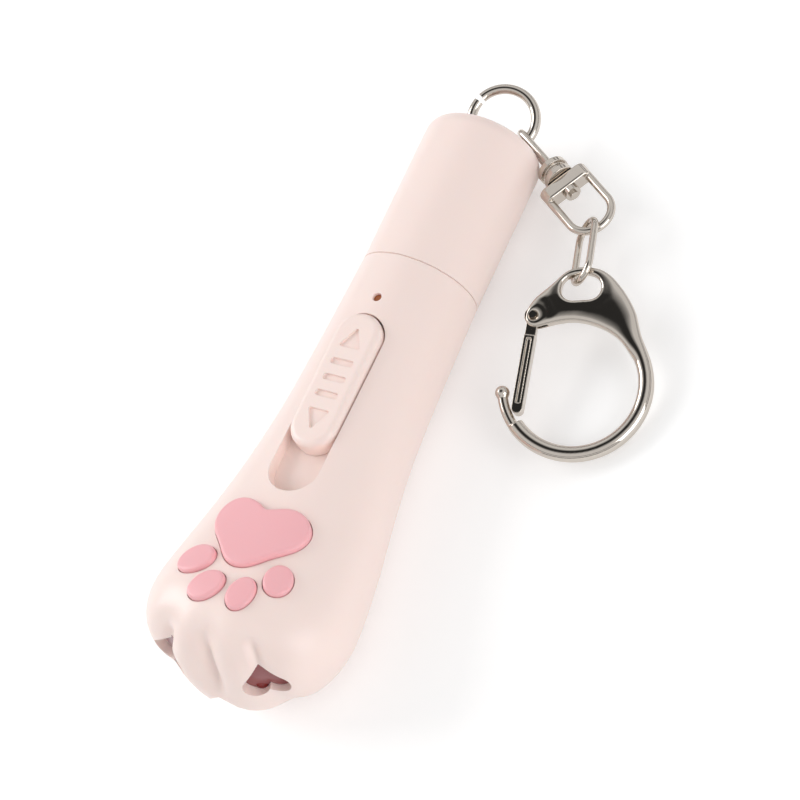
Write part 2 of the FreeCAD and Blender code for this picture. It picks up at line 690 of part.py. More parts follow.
def make_cap():
    """Deep cap over the plug: rounded closed end, shallow pocket and a lug for the ring."""
    end = -CAP_L
    cap = rod(HANDLE_R, axis_point(0, 0, 0), axis_point(0, end, 0))
    cap = round_edges(cap, CAP_RIM_R, lambda e: abs(e.BoundBox.YMin - SEAM_Y - CAP_L) < 1e-3
                      and abs(e.BoundBox.YMax - SEAM_Y - CAP_L) < 1e-3)
    cap = cap.cut(rod(BORE_R, axis_point(0, 1, 0), axis_point(0, end + CAP_END_T, 0)))
    cap = cap.cut(box(-5.2, 5.2, end - 1, end + 1.9, -LUG_DROP - 3.3, -LUG_DROP + 3.3))
    cap = cap.cut(flat_cutter(end - 1, 1))
    hole = axis_point(0, end + LUG_DEPTH, -LUG_DROP)
    half = V(LUG_T / 2, 0, 0)
    lug = rod(LUG_R, hole - half, hole + half)
    root = box(-half.x, half.x, end + LUG_DEPTH, end + 2.5, -LUG_DROP - LUG_R, -LUG_DROP + LUG_R)
    cap = cap.fuse([lug, root]).removeSplitter()
    return cap.cut(rod(LUG_HOLE_R, hole - half * 2, hole + half * 2))


def orthogonal(v, axis):
    """The unit part of v that is square to axis."""
    flat = v - axis * (v.dot(axis) / axis.dot(axis))
    return flat.normalize()


def placed(shape, origin, x_axis, z_axis):
    shape.Placement = FreeCAD.Placement(origin, FreeCAD.Rotation(x_axis, V(0, 0, 0), z_axis, "ZXY"))
    return shape


def round_wire(path, radius):
    """A round wire along a smooth flat path of straight lines and arcs."""
    lengths = []
    for edge in path:
        start = edge.valueAt(edge.FirstParameter)
        aim = edge.tangentAt(edge.FirstParameter)
        section = Part.Face(Part.Wire([Part.makeCircle(radius, start, aim)]))
        if isinstance(edge.Curve, Part.Circle):
            centre = edge.Curve.Center
            turn = math.degrees(edge.Length / edge.Curve.Radius)
            lengths.append(section.revolve(centre, (start - centre).cross(aim), turn))
        else:
            lengths.append(section.extrude(aim * edge.Length))
    if len(lengths) == 1:
        return lengths[0]
    return lengths[0].fuse(lengths[1:]).removeSplitter()


def straight(a, b):
    return Part.LineSegment(a, b).toShape()


def arc_about(centre, radius, start, mid, end):
    """An arc in the plane z = 0 through three directions given in degrees."""
    points = []
    for turn in (start, mid, end):
        a = math.radians(turn)
        points.append(centre + V(math.cos(a), math.sin(a), 0) * radius)
    return Part.Arc(*points).toShape()


def ring_places():
    """Hole centre, ring centre and the ring's two in-plane directions."""
    hole = axis_point(0, -CAP_L + LUG_DEPTH, -LUG_DROP)
    out = orthogonal(V(0, 1, 0), RING_NORMAL)
    side = out.cross(RING_NORMAL).normalize()
    return hole, hole + out * RING_R, out, side


def eye_place():
    """Middle of the ring's wire where the swivel hangs on it."""
    hole, centre, out, side = ring_places()
    a = math.radians(EYE_AT)
    return centre + side * (RING_R * math.cos(a)) + out * (RING_R * math.sin(a))


def swivel_point(along, across=0.0):
    """A place on the swivel's own axis, or beside it in the bail's plane."""
    aim = V(SWIVEL_AIM).normalize()
    return eye_place() + aim * along + V(-aim.y, aim.x, 0) * across


def bail_at():
    """Distance along the swivel from the ring's wire to the middle of the bail's boss."""
    return EYE_L + COLLAR_L + CHAIN_GAP * 2 + BAIL_BLOCK_L / 2


def link_places():
    """The middles of the two wires the link joins: the bail's and the clip eye's."""
    aim = V(SWIVEL_AIM).normalize()
    a = math.radians(LINK_AT)
    out = aim * math.cos(a) + V(-aim.y, aim.x, 0) * math.sin(a)
    first = swivel_point(bail_at() + BAIL_SIDE_L) + out * BAIL_HALF_W
    return first, first + V(LINK_AIM).normalize() * LINK_SPAN


def make_key_ring():
    """Split ring of round wire through the cap's lug."""
    hole, centre, out, side = ring_places()
    start = RING_GAP_AT + RING_GAP_DEG / 2
    arc = arc_about(V(0, 0, 0), RING_R, start, start + 180 - RING_GAP_DEG / 2, start + 360 - RING_GAP_DEG)
    ring = round_wire([arc], RING_WIRE_R)
    return placed(ring, centre, side, V(RING_NORMAL).normalize() * -1 if side.cross(out).dot(RING_NORMAL) < 0
                  else V(RING_NORMAL).normalize())


def make_swivel_eye():
    """Teardrop eye on the ring with its grooved collar."""
    bend = RING_WIRE_R + EYE_WIRE_R + CHAIN_GAP
    reach = math.hypot(EYE_L + 0.3, EYE_SPREAD)
    turn = math.degrees(math.atan2(EYE_SPREAD, EYE_L + 0.3) + math.acos(bend / reach))
    tip = arc_about(V(0, 0, 0), bend, turn, 180, -turn)
    near = straight(V(EYE_L + 0.3, EYE_SPREAD, 0), tip.valueAt(tip.FirstParameter))
    far = straight(tip.valueAt(tip.LastParameter), V(EYE_L + 0.3, -EYE_SPREAD, 0))
    eye = round_wire([near, tip, far], EYE_WIRE_R)
    x = V(1, 0, 0)
    third = COLLAR_L / 3
    for radius, at in ((COLLAR_R, 0), (COLLAR_R - 0.6, 1), (COLLAR_R, 2)):
        length = third + (0.001 if at < 2 else 0)
        eye = eye.fuse(Part.makeCylinder(radius, length, x * (EYE_L + at * third), x))
    eye = eye.removeSplitter()
    eye = eye.cut(Part.makeCylinder(RIVET_R + 0.02, 3, x * (EYE_L + COLLAR_L - 2), x))
    aim = V(SWIVEL_AIM).normalize()
    return placed(eye, eye_place(), aim, aim.cross(V(0, 0, 1)))


def make_swivel_rivet():
    """Rivet from the collar through the bail's boss, with its round head inside the bail."""
    start = EYE_L + COLLAR_L - 2
    head = bail_at() + BAIL_BLOCK_L / 2 + CHAIN_GAP
    rivet = rod(RIVET_R, swivel_point(start), swivel_point(head + 1.4))
    return rivet.fuse(rod(RIVET_HEAD_R, swivel_point(head), swivel_point(head + 0.9))).removeSplitter()


def make_swivel_bail():
    """D-shaped wire bail with the cross block that turns on the rivet."""
    w = BAIL_HALF_W
    c = 1.1
    corner = math.sqrt(0.5) * c
    bow = Part.Arc(V(BAIL_SIDE_L, w, 0), V(BAIL_SIDE_L + w, 0, 0), V(BAIL_SIDE_L, -w, 0)).toShape()
    left = Part.Arc(V(c, -w, 0), V(c - corner, -w + c - corner, 0), V(0, -w + c, 0)).toShape()
    right = Part.Arc(V(0, w - c, 0), V(c - corner, w - c + corner, 0), V(c, w, 0)).toShape()
    path = [straight(V(0, 0, 0), V(0, w - c, 0)), right, straight(V(c, w, 0), V(BAIL_SIDE_L, w, 0)), bow,
            straight(V(BAIL_SIDE_L, -w, 0), V(c, -w, 0)), left, straight(V(0, -w + c, 0), V(0, 0, 0))]
    x = V(1, 0, 0)
    r = BAIL_BLOCK_T / 2
    reach = w + BAIL_WIRE_R - r
    block = Part.makeBox(BAIL_BLOCK_L, 2 * reach, 2 * r, V(-BAIL_BLOCK_L / 2, -reach, -r))
    ends = [Part.makeCylinder(r, BAIL_BLOCK_L, V(-BAIL_BLOCK_L / 2, y, 0), x) for y in (-reach, reach)]
    block = block.fuse(ends).removeSplitter()
    block = round_edges(block, 0.35, lambda e: e.BoundBox.XLength < 1e-3)
    bail = block.fuse(round_wire(path, BAIL_WIRE_R)).removeSplitter()
    bail = bail.cut(Part.makeCylinder(RIVET_R + CHAIN_GAP, 6, x * -3, x))
    aim = V(SWIVEL_AIM).normalize()
    return placed(bail, swivel_point(bail_at()), aim, V(0, 0, 1))


def make_connecting_link():
    """Closed oval link between the bail's bow and the clip's eye."""
    first, last = link_places()
    aim = (last - first).normalize()
    w = LINK_HALF_W
    start = first - aim * (LINK_BAIL_REACH + LINK_WIRE_R + CHAIN_GAP)
    end = last + aim * (LINK_EYE_REACH + LINK_WIRE_R + CHAIN_GAP)
    half = (end - start).Length / 2 - w
    path = [straight(V(-half, w, 0), V(half, w, 0)),
            Part.Arc(V(half, w, 0), V(half + w, 0, 0), V(half, -w, 0)).toShape(),
            straight(V(half, -w, 0), V(-half, -w, 0)),
            Part.Arc(V(-half, -w, 0), V(-half - w, 0, 0), V(-half, w, 0)).toShape()]
    link = round_wire(path, LINK_WIRE_R)
    level = aim.cross(V(0, 0, 1)).normalize()
    upright = level.cross(aim)
    lean = math.radians(LINK_LEAN)
    across = upright * math.cos(lean) + level * -math.sin(lean)
    return placed(link, (start + end) * 0.5, aim, aim.cross(across))


def clip_origin():
    """Middle of the clip's eye, so that its bar lies in the end of the link."""
    first, last = link_places()
    normal = V(CLIP_NORMAL).normalize()
    right = orthogonal(CLIP_RIGHT, normal)
    up = normal.cross(right)
    return last - up * (EYE_HALF_H + EYE_BAR / 2), right, normal


def centred_slab(face, thickness):
    slab = face.extrude(V(0, 0, thickness))
    slab.translate(V(0, 0, -thickness / 2))
    return slab


def disc(radius, centre, thickness):
    return Part.makeCylinder(radius, thickness, centre - V(0, 0, thickness / 2), V(0, 0, 1))


def smooth_face(points):
    """A face within a smooth closed curve through the points."""
    curve = Part.BSplineCurve()
    curve.interpolate(Points=points, PeriodicFlag=True)
    return Part.Face(Part.Wire([curve.toShape()]))


def round_point(centre, radius, turn):
    a = math.radians(turn)
    return centre + V(math.cos(a), math.sin(a), 0) * radius


def shoulder_profile():
    """Side view of the shoulder, from the thin eye bar to the full cast thickness."""
    thin = CLIP_EYE_T / 2
    full = CLIP_T / 2
    places = ((6, thin), (2.5, thin), (-2.5, full), (-7, full), (-12, full), (-17, full), (-22, full))
    upper = Part.BSplineCurve()
    upper.interpolate([V(-15, y, z) for y, z in places])
    lower = Part.BSplineCurve()
    lower.interpolate([V(-15, y, -z) for y, z in places])
    edges = [upper.toShape(), straight(V(-15, -22, full), V(-15, -22, -full)), lower.toShape(),
             straight(V(-15, 6, -thin), V(-15, 6, thin))]
    return Part.Face(Part.Wire(Part.__sortEdges__(edges))).extrude(V(30, 0, 0))


def make_clip_hook():
    """Claw: eye, cast shoulder, round hook with a thinned tip, and a fork for the gate."""
    mean = CLAW_INNER_R + CLAW_TUBE_R
    top = EYE_HALF_H + EYE_BAR
    outer = CLAW_INNER_R + 2 * CLAW_TUBE_R
    outline = [V(-9.0, -4.1, 0), V(-7.6, -1.4, 0), V(-4.2, 1.3, 0), V(-1.9, top - 0.3, 0), V(0.6, top, 0),
               V(3.4, top - 0.7, 0), V(6.2, -0.2, 0), V(8.6, -5.0, 0), V(9.9, -9.4, 0),
               round_point(CLAW_AT, outer, 13), round_point(CLAW_AT, mean, 5)]
    outline += [round_point(ARCH_AT, ARCH_R, turn) for turn in (12, 35, 60, 85, 107)] + [V(-8.4, -5.8, 0)]
    plate = centred_slab(smooth_face(outline), 2 * CLIP_T)
    w = EYE_HALF_W
    h = EYE_HALF_H
    hole = [V(-w, -0.2, 0), V(-0.72 * w, 0.73 * h, 0), V(0, h, 0), V(0.72 * w, 0.73 * h, 0), V(w, -0.2, 0),
            V(0.69 * w, -0.89 * h, 0), V(0, -h, 0), V(-0.69 * w, -0.89 * h, 0)]
    plate = plate.cut(centred_slab(smooth_face(hole), 8)).common(shoulder_profile())
    plate = round_edges(plate, CLIP_EDGE, lambda e: e.BoundBox.XLength + e.BoundBox.YLength > 0.5
                        and abs(e.CenterOfMass.z) > CLIP_EYE_T / 2 - 0.1)
    hook = round_wire([arc_about(CLAW_AT, mean, CLAW_FROM, -60, CLAW_TO)], CLAW_TUBE_R)
    tip_r = mean + CLAW_TUBE_R - CLAW_TIP_R - 0.06
    tip = round_wire([arc_about(CLAW_AT, tip_r, TIP_FROM, -160, TIP_TO)], CLAW_TIP_R)
    ball = Part.makeSphere(1.2, round_point(CLAW_AT, tip_r, TIP_TO))
    root = Part.makeSphere(CLAW_TUBE_R, round_point(CLAW_AT, mean, CLAW_FROM))
    claw = plate.fuse([hook, tip, ball, root]).removeSplitter()
    slot = disc(PIVOT_R + 1.1, PIVOT_AT, GATE_ROOT_T + FIT)
    claw = claw.cut([slot, disc(PIN_R + 0.02, PIVOT_AT, 6)])
    origin, right, normal = clip_origin()
    return placed(claw, origin, right, normal)


def make_clip_gate():
    """Channelled lever from the ears to the inside of the hook's tip."""
    aim = (GATE_END - PIVOT_AT).normalize()
    length = (GATE_END - PIVOT_AT).Length
    lever = centred_slab(Part.makePlane(length - 3.3, GATE_W, V(3.3, -GATE_W / 2, 0)), GATE_T)
    lever = lever.fuse(disc(GATE_W / 2, V(length, 0, 0), GATE_T))
    root = disc(PIVOT_R - 0.1, V(0, 0, 0), GATE_ROOT_T)
    neck = centred_slab(Part.makePlane(3.6, GATE_W, V(0, -GATE_W / 2, 0)), GATE_ROOT_T)
    gate = lever.fuse([root, neck]).removeSplitter()
    groove = Part.makeBox(length - 4.6, 0.7, 2, V(3.8, -0.35, GATE_T / 2 - 0.45))
    gate = gate.cut([groove, disc(PIN_R + CHAIN_GAP, V(0, 0, 0), 4)])
    origin, right, normal = clip_origin()
    up = normal.cross(right)
    pivot = origin + right * PIVOT_AT.x + up * PIVOT_AT.y
    return placed(gate, pivot, right * aim.x + up * aim.y, normal)


def make_gate_pin():
    """Peened pin through the ears and the gate's root."""
    origin, right, normal = clip_origin()
    up = normal.cross(right)
    pivot = origin + right * PIVOT_AT.x + up * PIVOT_AT.y
    reach = CLIP_T / 2 + 0.05
    return rod(PIN_R, pivot - normal * reach, pivot + normal * reach)


def build_parts():
    pads = [main_pad()] + toe_pads()
    parts = {
        "paw_shell": make_paw_shell([seat for pad, seat in pads]),
        "main_pad": pads[0][0],
        "slider_knob": make_slider_knob(),
        "slider_carrier": make_slider_carrier(),
        "slide_switch": make_slide_switch(),
        "light_pipe": make_light_pipe(),
        "charge_led": make_charge_led(),
        "plug_collar": make_plug_collar(),
        "usb_plug_shell": make_usb_plug_shell(),
        "usb_tongue": make_usb_tongue(),
        "usb_contacts": make_usb_contacts(),
        "inner_chassis": make_inner_chassis(),
        "circuit_board": make_circuit_board(),
        "board_screws": make_board_screws(),
        "battery_cell": make_battery_cell(),
        "emitter_bracket": make_emitter_bracket(),
        "light_liner": make_light_liner(),
        "laser_barrel": make_laser_barrel(),
        "laser_lens": make_laser_lens(),
        "cap": make_cap(),
        "key_ring": make_key_ring(),
        "swivel_eye": make_swivel_eye(),
        "swivel_rivet": make_swivel_rivet(),
        "swivel_bail": make_swivel_bail(),
        "connecting_link": make_connecting_link(),
        "clip_hook": make_clip_hook(),
        "clip_gate": make_clip_gate(),
        "gate_pin": make_gate_pin(),
    }
    for k, (pad, seat) in enumerate(pads[1:]):
        parts["toe_pad_%d" % (k + 1)] = pad
    for name, place, look in light_ports()[:2]:
        parts[name] = make_led(place, look)
    return parts


os.makedirs("parts", exist_ok=True)
for name, shape in build_parts().items():
    shape.exportStep("parts/%s.step" % name)
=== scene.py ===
import json
import math

import bmesh
import bpy
from mathutils import Matrix, Vector, kdtree


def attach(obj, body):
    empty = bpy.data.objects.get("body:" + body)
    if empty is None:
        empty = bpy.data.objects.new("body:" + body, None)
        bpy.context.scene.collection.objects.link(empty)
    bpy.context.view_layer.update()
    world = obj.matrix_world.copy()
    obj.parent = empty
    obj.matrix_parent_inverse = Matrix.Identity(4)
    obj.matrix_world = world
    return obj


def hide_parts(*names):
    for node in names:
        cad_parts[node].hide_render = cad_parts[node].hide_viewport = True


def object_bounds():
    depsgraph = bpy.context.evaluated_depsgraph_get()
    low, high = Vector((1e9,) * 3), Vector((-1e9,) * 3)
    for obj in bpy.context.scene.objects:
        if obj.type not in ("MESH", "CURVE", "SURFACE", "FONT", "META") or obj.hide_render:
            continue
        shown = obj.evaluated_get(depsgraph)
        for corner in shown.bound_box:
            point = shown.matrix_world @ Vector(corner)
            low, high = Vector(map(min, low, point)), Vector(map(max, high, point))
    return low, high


# Cat-paw laser pointer lying on a white table, pads up, with its swivel claw clip beside it.
# Metres throughout; +Y runs from the toes to the key ring, +Z up through the pads.

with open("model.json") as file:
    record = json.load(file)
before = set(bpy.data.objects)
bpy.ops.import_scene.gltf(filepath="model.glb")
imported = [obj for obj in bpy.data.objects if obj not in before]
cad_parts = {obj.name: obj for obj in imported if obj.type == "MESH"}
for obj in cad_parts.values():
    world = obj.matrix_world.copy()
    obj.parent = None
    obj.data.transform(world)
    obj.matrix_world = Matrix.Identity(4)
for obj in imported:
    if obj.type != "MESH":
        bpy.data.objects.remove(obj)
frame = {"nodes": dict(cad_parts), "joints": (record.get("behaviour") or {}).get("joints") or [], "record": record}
cad_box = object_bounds()
nodes = frame["nodes"]
joints = {joint["name"]: joint for joint in frame["joints"]}

MM = 0.001
WELD = 1e-7                # metres within which two points of a mesh are one

# The photograph's viewpoint: where the camera looks, and its three directions
AIM = Vector((1.18, 16.13, 1.97)) * MM
TO_CAMERA = Vector((0.486, -0.334, 0.808))
IMAGE_RIGHT = Vector((0.848, 0.403, -0.343))
CAMERA_DISTANCE = 0.5
LENS_MM = 140.4

# Studio levels: lamps in watts, the room and the floor's lift as shares of white
KEY_POWER = 2.65
FILL_POWER = 1.6
LAMP_SIZE = 0.45
ROOM_LIGHT = 0.85
# The room's bands of light and dark from the table's level up: height as the sine of elevation, level
ROOM_BANDS = ((0.0, 0.1), (0.1, 0.1), (0.17, 1.0), (0.34, 1.0), (0.42, 0.1), (0.5, 1.0), (1.0, 0.95))
MIRRORED = (-0.09, 0.05, 0.995)           # what the claw's face shows the camera: a dark card hangs there
CARD_EDGE = (0.87, 0.985)                 # cosines from that direction between which the card darkens
CARD_LEVEL = 0.04

# White table, and how much it is lifted towards white near the part and further out
TABLE_HALF = 1.5
TABLE_DROP = 0.02 * MM                    # just under the part, so that the two don't share a plane
FLOOR_LIFT = 0.24
FLOOR_LIFT_FAR = 0.9
FLOOR_FADE = (0.16, 0.6)                  # metres from the middle between which one becomes the other

# Wires of the lanyard, as their CAD solids have them
RING_R = 5.35 * MM
RING_WIRE_R = 0.84 * MM
RING_NORMAL = Vector((0.27, -0.2, 0.94))
RING_GAP_AT = 158.0        # degrees from the ring's hinge line, and how wide its gap is
RING_GAP = 9.0
LINK_HALF_W = 2.6 * MM
LINK_WIRE_R = 0.58 * MM
LINK_LEAN = 45.0
LINK_BAIL_REACH = 1.76 * MM   # from the bail's wire to the middle of the link's own
LINK_EYE_REACH = 1.74 * MM    # and from the claw's eye bar
WIRE_STEP = 3.0            # degrees of arc between a wire's stations
WIRE_SIDES = 36

# Creases between the toes: points of each line on the skin, from its top to its heart
CREASES = (
    ((-7.1, -36.9, 21.6), (-8.3, -38.2, 19.3), (-9.1, -39.3, 17.4)),
    ((-1.0, -36.1, 23.1), (-0.2, -39.1, 20.4), (0.4, -41.0, 16.6), (0.9, -41.9, 12.6)),
    ((7.1, -35.2, 22.6), (8.4, -37.2, 20.8), (9.1, -38.8, 18.2)),
)
CREASE_DEPTH = 0.75 * MM
CREASE_HALF_W = 1.0 * MM
CREASE_DEEPENS = 0.4                      # full depth from this share of its length on
CREASE_EASES = 0.7                        # and from here to its end it gives some of it back
CREASE_EASE = 0.6
CREASE_FINE_W = 2.6 * CREASE_HALF_W       # the skin is made finer this far to each side of a crease,
CREASE_FINE_H = 2.4 * MM                  # and this far above and below it,
CREASE_FINEST = (0.6 * MM, 0.35 * MM)     # where its edges are longer than these, one round each
CREASE_SHADED = 0.06 * MM                 # pressed this deep, the skin shades as it is now shaped
PAW_HEART = Vector((0, -26, 10)) * MM     # the creases press towards this point
FINE_FROM_Y = -32 * MM                    # the paw's front, where the skin is made finer
PAW_FROM_Y = -30 * MM                     # and where it may be pressed
SKIN_FACING = 0.35                        # cosine to the outward way that tells the skin from its inside

# Parting line of cap and housing: where it is, its bevel, and the round handle there
SEAM_Y = 33.0 * MM
SEAM_BEVEL = 0.22 * MM
SEAM_RIM = 0.955                          # the mouth's outer rim begins at this share of the handle
HANDLE_R = 10.0 * MM
HANDLE_Z = 9.65 * MM

# Plates in the heart-shaped openings, coloured with painted shade: their dark tones stand for the shade inside
# each opening, and their hue follows the lamp behind it. Each one's place, the way it looks, its slot and its
# finish
OPENINGS = (
    ("violet", (-9.0, -39.5, 15.25), (-0.39, -0.895, 0.18), "violet_glass", "painted_shade_mauve"),
    ("white", (0.0, -42.0, 7.75), (0.0, -1.0, 0.0), "led_lens", "painted_shade_salmon"),
    ("laser", (9.0, -39.5, 15.25), (0.39, -0.895, 0.18), "red_glass", "painted_shade_plum"),
)
HEART_W = 7.6 * MM
HEART_H = 6.2 * MM
HEART_LOBE = 0.27                         # lobe radius as a share of the width
LOBE_STEPS = 22
CIRCLE_STEPS = 48
DOME_RINGS = 8
SHADE_PLATE_DEPTH = 2.1 * MM                   # behind the opening's middle
SHADE_PLATE_LAP = 0.12 * MM                    # how far a plate reaches into the wall round it
SHADE_PLATE_T = 0.5 * MM
SHADE_PLATE_CROWN = 0.4 * MM
LASER_EYE = Vector((7.0, -38.8, 12.4)) * MM
LASER_EYE_R = 0.95 * MM
LASER_EYE_T = 0.6 * MM
LASER_EYE_CROWN = 0.25 * MM

# The claw's own directions: where its eye is, to its right and up from it, in its plane. Places and
# lengths along them are in millimetres, and turns round the hook in degrees from its right.
CLAW_AT = Vector((26.25, 39.49, 8.06)) * MM
CLAW_RIGHT = Vector((0.9128, 0.3842, -0.1388))
CLAW_UP = Vector((-0.3504, 0.9110, 0.2176))
CLAW_ROUND = (-1.4, -15.9)                # middle of the round hook
CLAW_ROUND_R = 11.15
CLAW_WIRE_R = 1.3
SHOULDER_FOOT = (-11.5, -7.5)             # heights between which the cast shoulder begins
EYE_BROAD = 1.35                          # the eye is this much wider than tall,
EYE_EDGE = (2.9, 4.5)                     # and the shoulder begins between these distances from it
CROWN = 0.3                               # how much thinner the shoulder is at its rim
CROWN_REACH = 2.6
NECK = ((-14, 4), (48, 70))               # turns between which the neck begins, and ends
DRAWN_IN = ((-12, -6), (16, 50))          # the same for the tail that is drawn in to the round wire
SHOULDER_FLOW = 0.5                       # how freely the shoulder flows, where the neck does so fully
FLOW_FACTOR = 0.6
FLOW_ROUNDS = 90
TUMBLE_FACTOR = 0.5

# Plated metal, moulded plastics and lenses, as sRGB colours
PALE_PINK = "#FAE5DE"
PAD_ROSE = "#F8B9BE"
OFF_WHITE = "#ECE8E2"
BLACK = "#1B1B1D"
NICKEL = "#CCC4BB"
SHEET_STEEL = "#C9C9CC"
GILT = "#D8B25A"
BOARD_GREEN = "#1F5B38"
FOIL = "#C4C7CC"
AMBER = "#C9743F"
PHOSPHOR = "#F0A24A"
VIOLET = "#A58BB8"
DEEP_RED = "#8E1F1C"
# Painted shade: dark tones for the inside of each heart-shaped opening, tinted towards the lamp behind it
SHADE_PLUM = "#8E4B4D"
SHADE_SALMON = "#D8816A"
SHADE_MAUVE = "#9F7C81"


def linear(colour):
    """An sRGB hex colour as linear light with full opacity."""
    parts = []
    for k in (1, 3, 5):
        c = int(colour[k:k + 2], 16) / 255
        parts.append(c / 12.92 if c <= 0.04045 else ((c + 0.055) / 1.055) ** 2.4)
    return (*parts, 1.0)


def add(tree, kind, settings=None, links=None):
    """Adds a node; settings go to its inputs or properties, links feed its inputs."""
    node = tree.nodes.new(kind)
    for name, value in (settings or {}).items():
        if isinstance(name, int) or name in node.inputs:
            node.inputs[name].default_value = value
        else:
            setattr(node, name, value)
    for name, source in (links or {}).items():
        tree.links.new(source, node.inputs[name])
    return node


def put(name, data):
    """A new object in the scene that shows this mesh, lamp or camera."""
    thing = bpy.data.objects.new(name, data)
    bpy.context.collection.objects.link(thing)
    return thing


def ramp(value, start, end):
    """Rises smoothly from none to one while the value goes from start to end."""
    t = max(0.0, min(1.0, (value - start) / (end - start)))
    return t * t * (3 - 2 * t)


def finish_material(name, surface, grain=None, soft_edge=None):
    """A principled surface, with a grain (size and depth in millimetres) and rounded edges."""
    material = bpy.data.materials.new(name)
    material.use_nodes = True
    tree = material.node_tree
    tree.nodes.clear()
    out = add(tree, "ShaderNodeOutputMaterial")
    shader = add(tree, "ShaderNodeBsdfPrincipled", surface)
    tree.links.new(shader.outputs["BSDF"], out.inputs["Surface"])
    normal = None
    if soft_edge:
        bevel = add(tree, "ShaderNodeBevel", {"samples": 6, "Radius": soft_edge * MM})
        normal = bevel.outputs["Normal"]
    if grain:
        size, depth = grain
        place = add(tree, "ShaderNodeTexCoord")
        noise = add(tree, "ShaderNodeTexNoise", {"Scale": 1 / (size * MM), "Detail": 3.0},
                    {"Vector": place.outputs["Object"]})
        links = {"Height": noise.outputs["Fac"]}
        if normal:
            links["Normal"] = normal
        bump = add(tree, "ShaderNodeBump", {"Strength": 1.0, "Distance": depth * MM}, links)
        normal = bump.outputs["Normal"]
    if normal:
        tree.links.new(normal, shader.inputs["Normal"])
    return material


def make_materials():
    """Each finish by the record's slot name."""
    return {
        # Injection-moulded ABS from a satin tool: soft highlights and a faint warm glow in the recesses
        "pink_plastic": finish_material("Satin moulded ABS, pale pink", {
            "Base Color": linear(PALE_PINK), "Roughness": 0.36, "IOR": 1.54,
            "Subsurface Weight": 0.12, "Subsurface Radius": (1.0, 0.45, 0.3), "Subsurface Scale": 0.0012,
        }, grain=(0.35, 0.0012), soft_edge=0.14),
        # Moulded soft elastomer: rose, a broad gentle sheen
        "pad_rubber": finish_material("Moulded silicone rubber, rose", {
            "Base Color": linear(PAD_ROSE), "Roughness": 0.33, "IOR": 1.43,
            "Subsurface Weight": 0.15, "Subsurface Radius": (1.0, 0.4, 0.35), "Subsurface Scale": 0.0009,
        }, grain=(0.3, 0.001), soft_edge=0.3),
        # Natural moulded polyamide: matt off-white
        "white_plastic": finish_material("Moulded polyamide, natural", {
            "Base Color": linear(OFF_WHITE), "Roughness": 0.55, "IOR": 1.53,
        }, grain=(0.4, 0.002), soft_edge=0.12),
        # Glass-filled polymer: matt black
        "black_plastic": finish_material("Glass-filled polymer, black", {
            "Base Color": linear(BLACK), "Roughness": 0.5, "IOR": 1.55}, grain=(0.3, 0.002)),
        # Polished acrylic rod over an amber lamp
        "clear_pipe": finish_material("Polished acrylic, amber lit", {
            "Base Color": linear(AMBER), "Roughness": 0.15, "IOR": 1.49, "Transmission Weight": 0.35}),
        # Cast epoxy over yellow phosphor
        "led_lens": finish_material("Cast epoxy over phosphor", {
            "Base Color": linear(PHOSPHOR), "Roughness": 0.12, "IOR": 1.52, "Transmission Weight": 0.3}),
        # Cast epoxy, violet tint
        "violet_glass": finish_material("Cast epoxy, violet tint", {
            "Base Color": linear(VIOLET), "Roughness": 0.12, "IOR": 1.52, "Transmission Weight": 0.3}),
        # Polished acrylic lens over the red source
        "red_glass": finish_material("Polished acrylic lens, red", {
            "Base Color": linear(DEEP_RED), "Roughness": 0.08, "IOR": 1.49, "Transmission Weight": 0.3}),
        # Plates in front of the lamps, smooth and a little glossy, coloured with painted shade: dark tones for the
        # shade inside each opening, tinted towards its lamp
        "painted_shade_plum": finish_material("Painted shade, plum", {
            "Base Color": linear(SHADE_PLUM), "Roughness": 0.25, "IOR": 1.585}, grain=(0.8, 0.002)),
        "painted_shade_salmon": finish_material("Painted shade, salmon", {
            "Base Color": linear(SHADE_SALMON), "Roughness": 0.25, "IOR": 1.585}, grain=(0.8, 0.002)),
        "painted_shade_mauve": finish_material("Painted shade, mauve", {
            "Base Color": linear(SHADE_MAUVE), "Roughness": 0.25, "IOR": 1.585}, grain=(0.8, 0.002)),
        # Tin-plated sheet steel: pale, softly brushed
        "plug_steel": finish_material("Tin-plated sheet steel", {
            "Base Color": linear(SHEET_STEEL), "Metallic": 1.0, "Roughness": 0.28}, grain=(0.2, 0.001)),
        # Gold-flashed brass: warm and bright
        "gilt": finish_material("Gold-flashed brass", {
            "Base Color": linear(GILT), "Metallic": 1.0, "Roughness": 0.22}),
        # Solder mask on glass fibre: smooth deep green
        "board_green": finish_material("Solder mask on glass fibre", {
            "Base Color": linear(BOARD_GREEN), "Roughness": 0.3, "IOR": 1.55}),
        # Aluminium laminate pouch: dull silver with faint wrinkles
        "cell_foil": finish_material("Aluminium laminate pouch", {
            "Base Color": linear(FOIL), "Metallic": 1.0, "Roughness": 0.38}, grain=(2.5, 0.03)),
        # Bright nickel plate on cast zinc: mirror-like and slightly warm, with faint casting waves
        "nickel": finish_material("Bright nickel plate on cast zinc", {
            "Base Color": linear(NICKEL), "Metallic": 1.0, "Roughness": 0.09}, grain=(2.2, 0.006)),
    }


def dress_nodes(materials):
    """Gives every CAD node the finish of its slot in the record."""
    for part in frame["record"]["subparts"]:
        node = nodes[part["node"]]
        node.data.materials.clear()
        node.data.materials.append(materials[part["material_slot"]])


def finished(mesh, name, body, node, material):
    """A plain mesh piece that moves with its body, and stands for a CAD node if one is named."""
    mesh.materials.clear()
    mesh.materials.append(material)
    mesh.shade_smooth()
    piece = put(name, mesh)
    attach(piece, body)
    if node:
        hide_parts(node)


def weld(mesh, face_out=False):
    """Joins the points of a mesh that share a place, and turns its faces outwards if asked."""
    work = bmesh.new()
    work.from_mesh(mesh)
    bmesh.ops.remove_doubles(work, verts=work.verts, dist=WELD)
    if face_out:
        bmesh.ops.recalc_face_normals(work, faces=work.faces)
    work.to_mesh(mesh)
    work.free()


